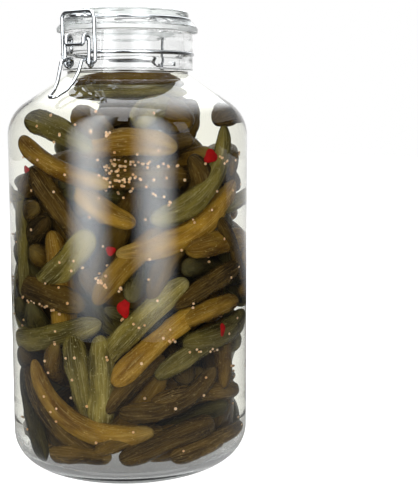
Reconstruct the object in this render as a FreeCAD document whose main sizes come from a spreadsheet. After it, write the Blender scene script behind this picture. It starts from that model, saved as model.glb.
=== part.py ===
"""Clip-top jar: a big glass preserving jar filled with brine, with a glass lid, a gasket and a wire clip.

Millimetres, +Z up. The origin is the centre of the base where the jar stands, the wire clip is
at the front (-Y) and the lid's hinge is at the back (+Y).
"""

import FreeCAD, Part

import math
import os

import Sketcher

doc = FreeCAD.newDocument("clip_top_jar")

# ---------------------------------------------------------------- driving sizes

SIZES = {
    # glass jar
    "body_r": (85.5, "outside radius of the body"),
    "wall": (4.0, "thickness of the side wall"),
    "base_thick": (9.5, "height of the inside floor above the table"),
    "heel_r": (21.5, "rounding between side wall and base"),
    "push_up": (3.2, "height of the hollow under the base, at its centre"),
    "push_up_r": (50.0, "radius of the hollow under the base"),
    "neck_root_z": (277.8, "height at which the sloping shoulder meets the neck"),
    "shoulder_slope": (34.0, "slope of the shoulder, in degrees"),
    "shoulder_r": (28.0, "rounding between side wall and shoulder"),
    "neck_r": (46.4, "outside radius of the neck band"),
    "waist_step": (3.2, "how far the waist under the neck band lies inside the band"),
    "neck_wall": (6.6, "thickness of the glass in the neck band"),
    "neck_bend_r": (8.0, "rounding inside, where the shoulder turns up into the neck"),
    "rim_round": (1.4, "rounding of the rim's two edges"),
    "band_round": (1.2, "rounding of the neck band's lower edge"),
    "band_rise": (2.4, "from the neck's root up to the underside of the neck band"),
    "ring_rise": (13.9, "from the neck's root up to the groove for the neck ring"),
    "rim_rise": (29.4, "from the neck's root up to the rim"),
    "brine_rise": (1.2, "from the neck's root up to the brine's surface"),
    # gasket and glass lid
    "gasket_lap": (3.5, "how far the gasket stands out past the neck band"),
    "gasket_inset": (0.6, "how far the gasket's hole is wider than the neck inside, on each side"),
    "gasket_thick": (2.6, "thickness of the pressed gasket"),
    "flange_lap": (3.0, "how far the lid's flange stands out past the neck band"),
    "flange_edge": (0.8, "height of the upright edge of the flange"),
    "flange_thick": (4.2, "thickness of the lid's flange"),
    "flange_slope": (2.8, "how far the flange's edge slopes inwards"),
    "ledge_spare": (0.5, "how much wider than the wire the flange's flat top is"),
    "crown_rise": (11.9, "height of the crown above the flange's underside"),
    "crown_round": (2.5, "rounding of the crown's upper edge"),
    "dish_inset": (10.6, "from the crown's side in to the edge of the shallow dish in its top"),
    "dish_deep": (1.2, "depth of the shallow dish in the crown's top"),
    "plug_gap": (1.0, "clearance in the neck round the plug that centres the lid"),
    "plug_drop": (4.6, "how far the plug reaches below the flange"),
    "plug_taper": (1.6, "how much narrower the plug is at its foot, to clear the rim as the lid tips"),
    "plug_wall": (4.2, "width of the plug's foot round the hollow under the lid"),
    "hollow_round": (4.0, "rounding at the top of the hollow under the lid"),
    "lid_plate": (5.6, "thickness of the glass over the hollow under the lid"),
    # wire and clearances
    "wire_r": (1.25, "radius of the steel wire"),
    "groove_gap": (0.1, "clearance between wire and groove"),
    "pivot_gap": (0.12, "clearance between a wire eye and the wire that turns in it"),
    "side_gap": (0.4, "side clearance between wires that pass each other"),
    "neck_sink": (0.2, "how far the neck ring's centre line lies inside the neck band"),
    "lid_sink": (0.8, "how far the lid ring's wire reaches into the crown"),
    # wire clip
    "pivot_out": (5.9, "from the neck band out to the lever's pivot"),
    "pivot_rise": (8.1, "from the neck ring up to the lever's pivot"),
    "crank_drop": (15.3, "from the lever's pivot down to the bail's pivot"),
    "over_centre": (1.8, "how far the bail's pivot lies inside the lever's pivot"),
    "eye_half": (7.9, "half the distance between the two eyes of the neck ring"),
    "bail_gap": (1.1, "side clearance between the crank and the bail's arm"),
    "eye_bar_drop": (3.6, "from the lever's pivot down to the bar between the eyes"),
    "tongue_out": (10.4, "how far the lid ring's tongue reaches past the ring"),
    "tongue_half": (8.0, "half width of the tongue, and the radius of its nose"),
    "nose_lap": (2.8, "from the bail's bar out to the tongue's nose"),
    "bar_gap": (0.3, "clearance between the bail's bar and the tongue"),
    "bail_bend_r": (5.0, "bend radius of the bail's two upper corners"),
    "small_bend_r": (2.0, "bend radius of tight corners in the wire"),
    "bend_r": (3.0, "bend radius of ordinary corners in the wire"),
    "leave_run": (3.6, "straight run where a wire leaves its groove"),
    # hinge
    "hinge_out": (9.6, "from the neck band out to the hinge bar"),
    "hinge_drop": (6.0, "from the neck ring down to the hinge bar"),
    "staple_half": (14.0, "half width of the neck ring's hinge staple"),
    "knee_out": (3.8, "from the neck band out to the knee of the hinge staple"),
    "leg_half": (8.5, "half the distance between the lid ring's two hinge legs"),
    "joint_gap": (0.4, "gap where the two ends of the neck ring's wire meet"),
    "eye_tail": (2.4, "straight end of the wire after a hinge eye"),
}

# The lever's handle: corners of its wire, as half width, distance out from the pivot, drop below
# the pivot, and bend radius. It runs steeply down from the crank and then flares out along the
# shoulder, where its two sides close to a narrow tip.
HANDLE = {
    "grip_a": (9.2, 5.9, 14.6, 2.0),
    "grip_b": (8.7, 8.6, 22.0, 12.0),
    "grip_c": (7.1, 12.2, 28.6, 18.0),
    "grip_d": (5.6, 17.0, 33.9, 9.0),
    "grip_e": (2.7, 25.2, 38.7, 3.0),
}
WORDS = ("half", "out", "drop", "bend")

sheet = doc.addObject("Spreadsheet::Sheet", "Sizes")
rows = [(alias, number, text) for alias, (number, text) in SIZES.items()]
for corner, numbers in HANDLE.items():
    for word, number in zip(WORDS, numbers):
        rows.append((f"{corner}_{word}", number, f"{word} of the handle's corner {corner[-1]}"))
for row, (alias, number, text) in enumerate(rows, start=1):
    sheet.set(f"A{row}", text)
    sheet.set(f"B{row}", str(number))
    sheet.setAlias(f"B{row}", alias)
doc.recompute()

# ---------------------------------------------------------------- places worked out from the sizes

FITS = {
    "waist_r": "neck_r - waist_step",
    "neck_bore_r": "neck_r - neck_wall",
    "shoulder_z": "neck_root_z - (body_r - fit.waist_r) * tan(shoulder_slope)",
    "cavity_r": "body_r - wall",
    "cavity_shoulder_z": "fit.shoulder_z + wall * tan(shoulder_slope) - wall / cos(shoulder_slope)",
    "cavity_neck_z": "neck_root_z + (fit.waist_r - fit.neck_bore_r) * tan(shoulder_slope)"
                     " - wall / cos(shoulder_slope)",
    "cavity_heel_r": "heel_r - wall",
    "cavity_shoulder_r": "shoulder_r - wall",
    "cavity_top_z": "neck_root_z + rim_rise + wall",
    "band_z": "neck_root_z + band_rise",
    "ring_z": "neck_root_z + ring_rise",
    "rim_z": "neck_root_z + rim_rise",
    "brine_z": "neck_root_z + brine_rise",
    "ring_r": "neck_r - neck_sink",
    "gasket_r": "neck_r + gasket_lap",
    "gasket_bore_r": "fit.neck_bore_r + gasket_inset",
    "lid_z": "fit.rim_z + gasket_thick",
    "flange_r": "neck_r + flange_lap",
    "flange_top_r": "fit.flange_r - flange_slope",
    "crown_r": "fit.flange_top_r - 2 * wire_r - ledge_spare",
    "flange_top_z": "fit.lid_z + flange_thick",
    "flange_edge_z": "fit.lid_z + flange_edge",
    "lid_top_z": "fit.lid_z + crown_rise",
    "dish_r": "fit.crown_r - dish_inset",
    "dish_floor_r": "fit.dish_r - 2 * dish_deep",
    "dish_floor_z": "fit.lid_top_z - dish_deep",
    "plug_r": "fit.neck_bore_r - plug_gap",
    "plug_foot_r": "fit.plug_r - plug_taper",
    "plug_bore_r": "fit.plug_foot_r - plug_wall",
    "plug_z": "fit.lid_z - plug_drop",
    "hollow_z": "fit.dish_floor_z - lid_plate",
    "lid_ring_r": "fit.crown_r - lid_sink + wire_r",
    "lid_ring_z": "fit.flange_top_z + wire_r + groove_gap",
    "groove_r": "wire_r + groove_gap",
    "loop_r": "2 * wire_r + pivot_gap",
    "pivot_rho": "neck_r + pivot_out",
    "pivot_z": "fit.ring_z + pivot_rise",
    "crank_rho": "fit.pivot_rho - over_centre",
    "crank_z": "fit.pivot_z - crank_drop",
    "crank_half": "eye_half + 2 * wire_r + side_gap",
    "bail_half": "fit.crank_half + 2 * wire_r + bail_gap",
    "coil_shift": "2 * wire_r + side_gap / 2",
    "coil_r": "fit.loop_r + groove_gap",
    "nose_rho": "fit.lid_ring_r + tongue_out",
    "bar_rho": "fit.nose_rho - nose_lap",
    "bar_z": "fit.lid_ring_z + 2 * wire_r + bar_gap",
    "hinge_y": "neck_r + hinge_out",
    "hinge_z": "fit.ring_z - hinge_drop",
}

NAMES = [row[0] for row in rows]


def bound(text):
    """An expression over the sizes, such as "body_r - wall", with each name's table before it."""
    words = []
    for word in text.replace("(", "( ").replace(")", " )").split():
        if word in NAMES:
            word = "Sizes." + word
        elif word.startswith("fit."):
            word = "Fits." + word[4:]
        words.append(word)
    return " ".join(words)


fits = doc.addObject("App::VarSet", "Fits")
for name, text in FITS.items():
    fits.addProperty("App::PropertyFloat", name, "Fits")
    fits.setExpression(name, bound(text))
doc.recompute()


def size(alias):
    """A driving size as a number."""
    return float(sheet.get(alias))


# ---------------------------------------------------------------- turned glass and rubber

def number(name):
    """A size or a worked-out place as a number; "0" stands for the axis or the table."""
    if name == "0":
        return 0.0
    return getattr(fits, name[4:]) if name.startswith("fit.") else size(name)


def new_sketch(body, name):
    sketch = body.newObject("Sketcher::SketchObject", name)
    plane = [item for item in body.Origin.OriginFeatures if item.Role == "XZ_Plane"][0]
    sketch.AttachmentSupport = [(plane, "")]
    sketch.MapMode = "FlatFace"
    return sketch


def bind(sketch, *constraint, to):
    """Adds a dimension to a sketch and ties it to a size."""
    index = sketch.addConstraint(Sketcher.Constraint(*constraint, number(to)))
    sketch.setExpression(f"Constraints[{index}]", bound(to))


def place_point(sketch, geometry, end, radius, height):
    """Ties a point of a sketch to a radius and a height."""
    for kind, name, axis in (("DistanceX", radius, -2), ("DistanceY", height, -1)):
        if name == "0":
            sketch.addConstraint(Sketcher.Constraint("PointOnObject", geometry, end, axis))
        else:
            bind(sketch, kind, -1, 1, geometry, end, to=name)


def arc_at(before, corner, after, radius):
    """The tangent arc that rounds a corner: its first and last point, and a point between."""
    back, on = (before - corner).normalize(), (after - corner).normalize()
    turn = math.pi - back.getAngle(on)
    reach = radius * math.tan(turn / 2)
    inward = (back + on).normalize() * (radius / math.cos(turn / 2) - radius)
    return corner + back * reach, corner + inward, corner + on * reach


def turned_body(name, outline):
    """A solid turned round the Z axis from a closed outline of corners: (radius, height), or
    (radius, height, rounding) where a tangent arc rounds the corner."""
    body = doc.addObject("PartDesign::Body", name)
    sketch = new_sketch(body, name + "_outline")
    count = len(outline)
    spots = [FreeCAD.Vector(number(row[0]), number(row[1]), 0) for row in outline]
    starts, ends, arcs = list(spots), list(spots), {}
    for k, row in enumerate(outline):
        if len(row) == 3:
            after = spots[(k + 1) % count]
            first, middle, last = arc_at(spots[k - 1], spots[k], after, number(row[2]))
            # a sketch holds an arc counter-clockwise, so one that turns clockwise is given backwards
            left = (spots[k] - spots[k - 1]).cross(after - spots[k]).z > 0
            arc = Part.Arc(first, middle, last) if left else Part.Arc(last, middle, first)
            ends[k], starts[k], arcs[k] = first, last, (arc, left)
    for k in range(count):
        sketch.addGeometry(Part.LineSegment(starts[k], ends[(k + 1) % count]))
    for k, row in enumerate(outline):
        before = (k - 1) % count
        if k not in arcs:
            sketch.addConstraint(Sketcher.Constraint("Coincident", before, 2, k, 1))
            place_point(sketch, k, 1, row[0], row[1])
            continue
        arc, left = sketch.addGeometry(arcs[k][0]), arcs[k][1]
        near, far = (1, 2) if left else (2, 1)
        sketch.addConstraint(Sketcher.Constraint("Tangent", before, 2, arc, near))
        sketch.addConstraint(Sketcher.Constraint("Tangent", k, 1, arc, far))
        bind(sketch, "Radius", arc, to=row[2])
        point = sketch.addGeometry(Part.Point(spots[k]), True)
        sketch.addConstraint(Sketcher.Constraint("PointOnObject", point, 1, before))
        sketch.addConstraint(Sketcher.Constraint("PointOnObject", point, 1, k))
        place_point(sketch, point, 1, row[0], row[1])
    turn = body.newObject("PartDesign::Revolution", name + "_turned")
    turn.Profile = sketch
    turn.ReferenceAxis = (sketch, ["V_Axis"])
    turn.Angle = 360.0
    doc.recompute()
    return body


def wire_groove(body, name, radius, height):
    """Turns a round-bottomed groove for the wire, centred at a radius and a height."""
    sketch = new_sketch(body, name + "_round")
    middle = FreeCAD.Vector(number(radius), number(height), 0)
    sketch.addGeometry(Part.Circle(middle, FreeCAD.Vector(0, 0, 1), number("fit.groove_r")))
    place_point(sketch, 0, 3, radius, height)
    bind(sketch, "Radius", 0, to="fit.groove_r")
    before = body.Tip.Shape.Volume
    groove = body.newObject("PartDesign::Groove", name)
    groove.Profile = sketch
    groove.ReferenceAxis = (sketch, ["V_Axis"])
    groove.Angle = 360.0
    doc.recompute()
    if not groove.Shape.Volume < before - 1.0:
        raise ValueError(f"{name} cuts nothing")


def jar_outside():
    """The jar's outside as a solid: base, side wall, shoulder, waist, neck band and rim."""
    body = turned_body("jar_outside", [
        ("0", "push_up"),
        ("push_up_r", "0"),
        ("body_r", "0", "heel_r"),
        ("body_r", "fit.shoulder_z", "shoulder_r"),
        ("fit.waist_r", "neck_root_z"),
        ("fit.waist_r", "fit.band_z"),
        ("neck_r", "fit.band_z", "band_round"),
        ("neck_r", "fit.rim_z", "rim_round"),
        ("0", "fit.rim_z"),
    ])
    wire_groove(body, "neck_groove", "fit.ring_r", "fit.ring_z")
    return body


def jar_cavity():
    """The room inside the jar, from the floor up; over the rim it opens wide and rounds its edge."""
    return turned_body("jar_cavity", [
        ("0", "base_thick"),
        ("fit.cavity_r", "base_thick", "fit.cavity_heel_r"),
        ("fit.cavity_r", "fit.cavity_shoulder_z", "fit.cavity_shoulder_r"),
        ("fit.neck_bore_r", "fit.cavity_neck_z", "neck_bend_r"),
        ("fit.neck_bore_r", "fit.rim_z", "rim_round"),
        ("body_r", "fit.rim_z"),
        ("body_r", "fit.cavity_top_z"),
        ("0", "fit.cavity_top_z"),
    ])


def gasket_body():
    """The flat rubber ring, pressed between the rim and the lid and standing out round both."""
    return turned_body("gasket", [
        ("fit.gasket_bore_r", "fit.rim_z"),
        ("fit.gasket_r", "fit.rim_z"),
        ("fit.gasket_r", "fit.lid_z"),
        ("fit.gasket_bore_r", "fit.lid_z"),
    ])


def lid_body():
    """The glass lid: sloping flange, raised crown with a shallow dish, and a hollow plug below."""
    body = turned_body("lid_glass", [
        ("0", "fit.hollow_z"),
        ("fit.plug_bore_r", "fit.hollow_z", "hollow_round"),
        ("fit.plug_bore_r", "fit.plug_z"),
        ("fit.plug_foot_r", "fit.plug_z"),
        ("fit.plug_r", "fit.lid_z"),
        ("fit.flange_r", "fit.lid_z"),
        ("fit.flange_r", "fit.flange_edge_z"),
        ("fit.flange_top_r", "fit.flange_top_z"),
        ("fit.crown_r", "fit.flange_top_z"),
        ("fit.crown_r", "fit.lid_top_z", "crown_round"),
        ("fit.dish_r", "fit.lid_top_z"),
        ("fit.dish_floor_r", "fit.dish_floor_z"),
        ("0", "fit.dish_floor_z"),
    ])
    wire_groove(body, "lid_groove", "fit.lid_ring_r", "fit.lid_ring_z")
    return body


# ---------------------------------------------------------------- bent wire

COIL_SIDES = 8  # the lever's coil is an eight-sided helix whose corners are rounded
COIL_SHARE = 0.97  # its bends take this share of their runs, so a short straight is left between two
SWEEP_MATCH = 0.01  # a sweep's volume may differ from section times length by this share
SHORTEST_RUN = 1e-4  # a straight run shorter than this, in mm, is left out


def front(half, rho, height):
    """A point of the clip: sideways, out from the jar's axis at the front, and up."""
    return FreeCAD.Vector(half, -rho, height)


def rounded(corners):
    """Edges of straight runs joined by tangent arcs; corners are (point, bend radius) pairs."""
    edges = []
    last = corners[0][0]
    for k in range(1, len(corners) - 1):
        start, middle, end = arc_at(corners[k - 1][0], corners[k][0], corners[k + 1][0], corners[k][1])
        if (start - last).Length > SHORTEST_RUN:
            edges.append(Part.LineSegment(last, start).toShape())
        edges.append(Part.Arc(start, middle, end).toShape())
        last = end
    edges.append(Part.LineSegment(last, corners[-1][0]).toShape())
    return edges


def widest_bend(before, corner, after):
    """The bend radius at a corner that takes COIL_SHARE of half the shorter run beside it."""
    turn = (corner - before).getAngle(after - corner)
    half_run = min((corner - before).Length, (after - corner).Length) / 2
    return COIL_SHARE * half_run / math.tan(turn / 2)


def mirrored(edges):
    """The same edges on the other side of the jar's middle plane."""
    return [edge.mirror(FreeCAD.Vector(0, 0, 0), FreeCAD.Vector(1, 0, 0)) for edge in edges]


def leave_hoop(radius, half, height, side):
    """Where a wire leaves its hoop on the +X side: the last point on the hoop and the corner after
    a straight run along the tangent, at the given half width. side is 1 at the back, -1 in front."""
    run = size("leave_run")
    angle = math.asin(half / math.hypot(radius, run)) + math.atan(run / radius)
    hoop_end = FreeCAD.Vector(radius * math.sin(angle), side * radius * math.cos(angle), height)
    along = FreeCAD.Vector(-math.cos(angle), side * math.sin(angle), 0)
    return hoop_end, hoop_end + along * run


def hoop_arc(radius, height, start, end):
    return Part.Arc(start, FreeCAD.Vector(radius, 0, height), end).toShape()


def wire_solid(name, edges):
    """A bent wire: the round section swept along straight runs and the arcs between them."""
    path = doc.addObject("Part::Feature", name + "_path")
    path.Shape = Part.Wire(Part.sortEdges(edges)[0])
    spine = path.Shape
    first = spine.OrderedEdges[0]
    start = spine.OrderedVertexes[0].Point
    parameter = first.Curve.parameter(start)
    tangent = first.tangentAt(parameter)
    section = doc.addObject("Part::Circle", name + "_section")
    section.setExpression("Radius", bound("wire_r"))
    section.Placement = FreeCAD.Placement(start, FreeCAD.Rotation(FreeCAD.Vector(0, 0, 1), tangent))
    sweep = doc.addObject("Part::Sweep", name)
    sweep.Sections = [section]
    sweep.Spine = (path, [f"Edge{k}" for k in range(1, len(spine.Edges) + 1)])
    sweep.Solid = True
    sweep.Frenet = False
    doc.recompute()
    expected = math.pi * size("wire_r") ** 2 * spine.Length
    print(f"{name}: wire {spine.Length:.1f} mm long, volume {sweep.Shape.Volume:.1f}"
          f" of {expected:.1f} mm3")
    if abs(sweep.Shape.Volume / expected - 1) > SWEEP_MATCH:
        raise ValueError(f"{name}: the sweep's volume is off")
    return sweep


def neck_ring_edges():
    """Half of the neck ring, +X side: hinge staple, hoop in the neck's groove, hairpin eye, bar."""
    radius, height = fits.ring_r, fits.ring_z
    bend, tight = size("bend_r"), size("small_bend_r")
    staple = size("staple_half")
    back_end, back_corner = leave_hoop(radius, staple, height, 1)
    knee_y = size("neck_r") + size("knee_out")
    staple_edges = rounded([
        (FreeCAD.Vector(size("joint_gap") / 2, fits.hinge_y, fits.hinge_z), 0),
        (FreeCAD.Vector(staple, fits.hinge_y, fits.hinge_z), tight),
        (FreeCAD.Vector(staple, knee_y, height), tight),
        (back_corner, bend),
        (back_end, 0),
    ])
    eye = size("eye_half")
    inner, outer = fits.pivot_rho - fits.loop_r, fits.pivot_rho + fits.loop_r
    top, bar = fits.pivot_z + fits.loop_r, fits.pivot_z - size("eye_bar_drop")
    front_end, front_corner = leave_hoop(radius, eye + 2 * bend, height, -1)
    eye_edges = rounded([
        (front_end, 0),
        (front_corner, bend),
        (front(eye, inner, height), bend),
        (front(eye, inner, top), fits.loop_r),
        (front(eye, outer, top), fits.loop_r),
        (front(eye, outer, bar), tight),
        (front(0, outer, bar), 0),
    ])
    return staple_edges + [hoop_arc(radius, height, back_end, front_end)] + eye_edges


def lid_ring_edges():
    """Half of the lid ring, +X side: tongue for the bail, hoop round the crown, leg and hinge eye."""
    radius, height = fits.lid_ring_r, fits.lid_ring_z
    bend, tight = size("bend_r"), size("small_bend_r")
    half = size("tongue_half")
    nose = fits.nose_rho - half
    front_end, front_corner = leave_hoop(radius, half, height, -1)
    slant = half / math.sqrt(2)
    nose_arc = Part.Arc(front(0, nose + half, height), front(slant, nose + slant, height),
                        front(half, nose, height)).toShape()
    tongue = rounded([(front(half, nose, height), 0), (front_corner, tight), (front_end, 0)])
    leg = size("leg_half")
    back_end, back_corner = leave_hoop(radius, leg, height, 1)
    outside, inside = fits.hinge_y + fits.loop_r, fits.hinge_y - fits.loop_r
    under = fits.hinge_z - fits.loop_r
    hinge_leg = rounded([
        (back_end, 0),
        (back_corner, bend),
        (FreeCAD.Vector(leg, outside, height), bend),
        (FreeCAD.Vector(leg, outside, under), fits.loop_r),
        (FreeCAD.Vector(leg, inside, under), fits.loop_r),
        (FreeCAD.Vector(leg, inside, fits.hinge_z + size("eye_tail")), 0),
    ])
    return [nose_arc] + tongue + [hoop_arc(radius, height, front_end, back_end)] + hinge_leg


def bail_edges():
    """Half of the bail, +X side: bar over the tongue, arm, and the turned-in end that pivots."""
    return rounded([
        (front(0, fits.bar_rho, fits.bar_z), 0),
        (front(fits.bail_half, fits.bar_rho, fits.bar_z), size("bail_bend_r")),
        (front(fits.bail_half, fits.crank_rho, fits.crank_z), size("small_bend_r")),
        (front(size("eye_half") - size("wire_r"), fits.crank_rho, fits.crank_z), 0),
    ])


def lever_edges():
    """Half of the lever, +X side: pivot end, crank, one coil round the bail's end, and handle."""
    handle = []
    for corner in HANDLE:
        half, out, drop, bend = (size(f"{corner}_{word}") for word in WORDS)
        handle.append((front(half, fits.pivot_rho + out, fits.pivot_z - drop), bend))
    elbow = front(fits.crank_half, fits.pivot_rho, fits.pivot_z)
    half_step = math.pi / COIL_SIDES
    reach = fits.coil_r / math.cos(half_step)
    coil = []
    for k in range(COIL_SIDES - 1):
        angle = -half_step * (2 * k + 1)
        along = fits.crank_half - fits.coil_shift * k / (COIL_SIDES - 2)
        coil.append(front(along, fits.crank_rho + reach * math.cos(angle),
                          fits.crank_z + reach * math.sin(angle)))
    beside = [elbow, *coil, handle[0][0]]
    return rounded([
        (front(size("eye_half") - size("wire_r") - size("side_gap"), fits.pivot_rho, fits.pivot_z), 0),
        (elbow, size("small_bend_r")),
        *[(coil[k], widest_bend(*beside[k:k + 3])) for k in range(len(coil))],
        *handle,
        (front(0, fits.pivot_rho + out, fits.pivot_z - drop), 0),
    ])


# ---------------------------------------------------------------- the pieces

outside = jar_outside()
cavity = jar_cavity()

jar_glass = doc.addObject("Part::Cut", "jar_glass")
jar_glass.Base = outside
jar_glass.Tool = cavity

fill = doc.addObject("Part::Cylinder", "brine_fill")
fill.setExpression("Radius", bound("body_r"))
fill.setExpression("Height", bound("fit.brine_z"))
brine = doc.addObject("Part::Common", "brine")
brine.Base = cavity
brine.Tool = fill

gasket = gasket_body()
lid_glass = lid_body()

pieces = {"jar_glass": jar_glass, "brine": brine, "gasket": gasket, "lid_glass": lid_glass}
for node, half_edges in (
    ("neck_ring", neck_ring_edges()),
    ("lid_ring", lid_ring_edges()),
    ("bail", bail_edges()),
    ("lever", lever_edges()),
):
    pieces[node] = wire_solid(node, half_edges + mirrored(half_edges))

for node, piece in pieces.items():
    piece.Label = node
doc.recompute()

# ---------------------------------------------------------------- checks and files

for item in doc.Objects:
    if "Invalid" in item.State or "Error" in item.State:
        raise ValueError(f"{item.Name} failed: {item.State}")
for node, piece in pieces.items():
    if piece.Shape.isNull() or not piece.Shape.isValid() or len(piece.Shape.Solids) != 1:
        raise ValueError(f"{node} is not one valid solid")

os.makedirs("parts", exist_ok=True)
for node, piece in pieces.items():
    piece.Shape.exportStep(f"parts/{node}.step")
    box = piece.Shape.BoundBox
    print(f"{node}: volume {piece.Shape.Volume / 1000:.2f} cm3, x {box.XMin:.2f}..{box.XMax:.2f},"
          f" y {box.YMin:.2f}..{box.YMax:.2f}, z {box.ZMin:.2f}..{box.ZMax:.2f}")
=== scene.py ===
# %% [markdown]
# # A clip-top jar of pickled gherkins
#
# The rigid parts of the jar come from CAD: the glass body and its lid, the rubber gasket, and four bent
# wires. This script leaves their shapes alone and gives them materials. Then it makes what is easier to
# model here: the brine with its curved edge, the gherkins, the mustard seeds and the bits of red pepper.
#
# All lengths are in metres unless a name or comment says mm. The jar stands at the origin, Z is up, and
# the clip is on the -Y side. A bearing is an angle round the jar: 0 at the clip, growing towards +X.

# %% Load the CAD parts
import math

import bpy
import numpy as np
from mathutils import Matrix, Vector
from mathutils.bvhtree import BVHTree


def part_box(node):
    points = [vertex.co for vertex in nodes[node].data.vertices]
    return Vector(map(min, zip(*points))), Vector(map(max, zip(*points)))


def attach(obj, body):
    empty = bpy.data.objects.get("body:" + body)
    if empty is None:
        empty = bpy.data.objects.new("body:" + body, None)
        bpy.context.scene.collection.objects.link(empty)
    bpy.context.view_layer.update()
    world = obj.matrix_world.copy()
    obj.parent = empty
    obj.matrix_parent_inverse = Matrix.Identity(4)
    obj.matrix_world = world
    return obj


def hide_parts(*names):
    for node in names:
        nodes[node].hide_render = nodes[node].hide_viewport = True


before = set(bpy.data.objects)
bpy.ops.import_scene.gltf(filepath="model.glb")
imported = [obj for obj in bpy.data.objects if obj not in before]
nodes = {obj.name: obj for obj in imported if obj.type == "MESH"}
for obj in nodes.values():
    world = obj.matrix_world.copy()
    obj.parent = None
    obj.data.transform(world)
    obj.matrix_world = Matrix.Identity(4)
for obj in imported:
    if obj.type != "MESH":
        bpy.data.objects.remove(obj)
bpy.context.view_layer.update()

scene = bpy.context.scene
MM = 0.001
WHITE = (1, 1, 1, 1)
print("CAD parts:", ", ".join(sorted(nodes)))

# %% [markdown]
# ## Helpers
#
# A shader is a tree of nodes, and three things repeat in every one: make a node, fill its inputs, link it
# to others. One helper does all three. It is given the kind of node and its inputs by name, with _ for a
# space, or by number, such as i0. A value is a constant, a socket, or a node, which means its first output.

# %% Colours as a screen shows them
def tint(red, green, blue):
    """A colour given from 0 to 255, turned into the light values that the renderer works in."""
    parts = [value / 255 for value in (red, green, blue)]
    linear = [part / 12.92 if part <= 0.04 else ((part + 0.055) / 1.055) ** 2.4 for part in parts]
    return (*linear, 1.0)


print("mid grey", [round(value, 3) for value in tint(128, 128, 128)])


# %% Nodes of a shader
def node_maker(tree):
    """Returns a function that adds a node to this tree, and sets or links its inputs."""
    def add(kind, settings=(), **inputs):
        node = tree.nodes.new("ShaderNode" + kind)
        for key, value in dict(settings).items():
            setattr(node, key, value)
        for key, value in inputs.items():
            numbered = key[0] == "i" and key[1:].isdigit()
            socket = node.inputs[int(key[1:])] if numbered else node.inputs[key.replace("_", " ")]
            if isinstance(value, bpy.types.Node):
                value = value.outputs[0]
            if isinstance(value, bpy.types.NodeSocket):
                tree.links.new(value, socket)
            else:
                socket.default_value = value
        return node

    return add


# %% An empty material
def new_material(name):
    """A material with nothing but its output, the helper for its nodes, and one to link its result."""
    material = bpy.data.materials.new(name)
    material.use_nodes = True
    tree = material.node_tree
    tree.nodes.clear()
    output = tree.nodes.new("ShaderNodeOutputMaterial")

    def finish(shader, volume=None):
        tree.links.new(shader.outputs[0], output.inputs["Surface"])
        if volume:
            tree.links.new(volume.outputs[0], output.inputs["Volume"])
        print("material", name, "with", len(tree.nodes), "nodes")
        return material

    return node_maker(tree), finish


# %% [markdown]
# Meshes with many thousand faces are quickest to make from number arrays, so one helper takes points and
# faces as arrays and hands them to Blender in one go. It can also store values on the points, which a
# shader reads later: that is how each gherkin gets its own tone though a whole kind is one mesh.

# %% A mesh from arrays
def mesh_piece(name, points, faces, material, attributes=()):
    """A smooth mesh object. Each attribute is a name, its data type and its values, one for each point."""
    mesh = bpy.data.meshes.new(name)
    points = np.asarray(points, np.float32)
    faces = np.asarray(faces, np.int32)
    corners = faces.shape[1]
    mesh.vertices.add(len(points))
    mesh.vertices.foreach_set("co", points.ravel())
    mesh.loops.add(faces.size)
    mesh.loops.foreach_set("vertex_index", faces.ravel())
    mesh.polygons.add(len(faces))
    mesh.polygons.foreach_set("loop_start", np.arange(0, faces.size, corners, dtype=np.int32))
    mesh.polygons.foreach_set("loop_total", np.full(len(faces), corners, np.int32))
    mesh.update(calc_edges=True)
    mesh.validate()
    for key, kind, values in attributes:
        layer = mesh.attributes.new(key, kind, "POINT")
        field = "vector" if kind == "FLOAT_VECTOR" else "value"
        layer.data.foreach_set(field, np.asarray(values, np.float32).ravel())
    mesh.polygons.foreach_set("use_smooth", np.ones(len(mesh.polygons), bool))
    mesh.materials.append(material)
    piece = bpy.data.objects.new(name, mesh)
    scene.collection.objects.link(piece)
    print(name, "with", len(mesh.polygons), "faces")
    return piece


def dress(names, material):
    """Gives CAD parts a material. Their shape and place stay as they are."""
    for name in names:
        nodes[name].data.materials.clear()
        nodes[name].data.materials.append(material)
    print(", ".join(names), "in", material.name)


# %% [markdown]
# ## Camera
#
# The eye is well above the middle of the jar and some 0.7 m away, so the neck is seen almost level and
# the foot from above. A long lens keeps the sides of the jar nearly upright. The camera points past the
# jar, which leaves it on the left of the frame with white beside it.

# %% Camera
camera_data = bpy.data.cameras.new("camera")
camera_data.sensor_width = 36
camera_data.sensor_fit = "HORIZONTAL"
camera_data.lens = 84.7
camera_data.shift_y = -0.057
camera = bpy.data.objects.new("camera", camera_data)
scene.collection.objects.link(camera)
VIEW_BEARING = 40
PAST_THE_JAR = 4.66
LOOKING_DOWN = 6.93
HEADING = math.radians(VIEW_BEARING - PAST_THE_JAR)
AHEAD = (-math.sin(HEADING), math.cos(HEADING), 0)
camera.location = (0.459, -0.547, 0.256)
camera.rotation_euler = (math.radians(90 - LOOKING_DOWN), 0, HEADING)
scene.camera = camera
print("camera", tuple(round(value, 3) for value in camera.location))

# %% [markdown]
# ## The white studio
#
# Glass has no colour of its own: it shows what is round it. In a plain white room it all but disappears,
# and what it holds goes pale, because light comes at it from every side. So the room differs with the way
# a ray got there, which the Light Path node tells. The eye sees white. What is seen through the glass is
# white only behind the jar, and what is mirrored in it is white only straight ahead, so that the edges
# of the glass go dark, as they do in front of a lit backdrop in a dark room. After a bounce from
# something matt, a faint ambient light is left.

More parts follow.
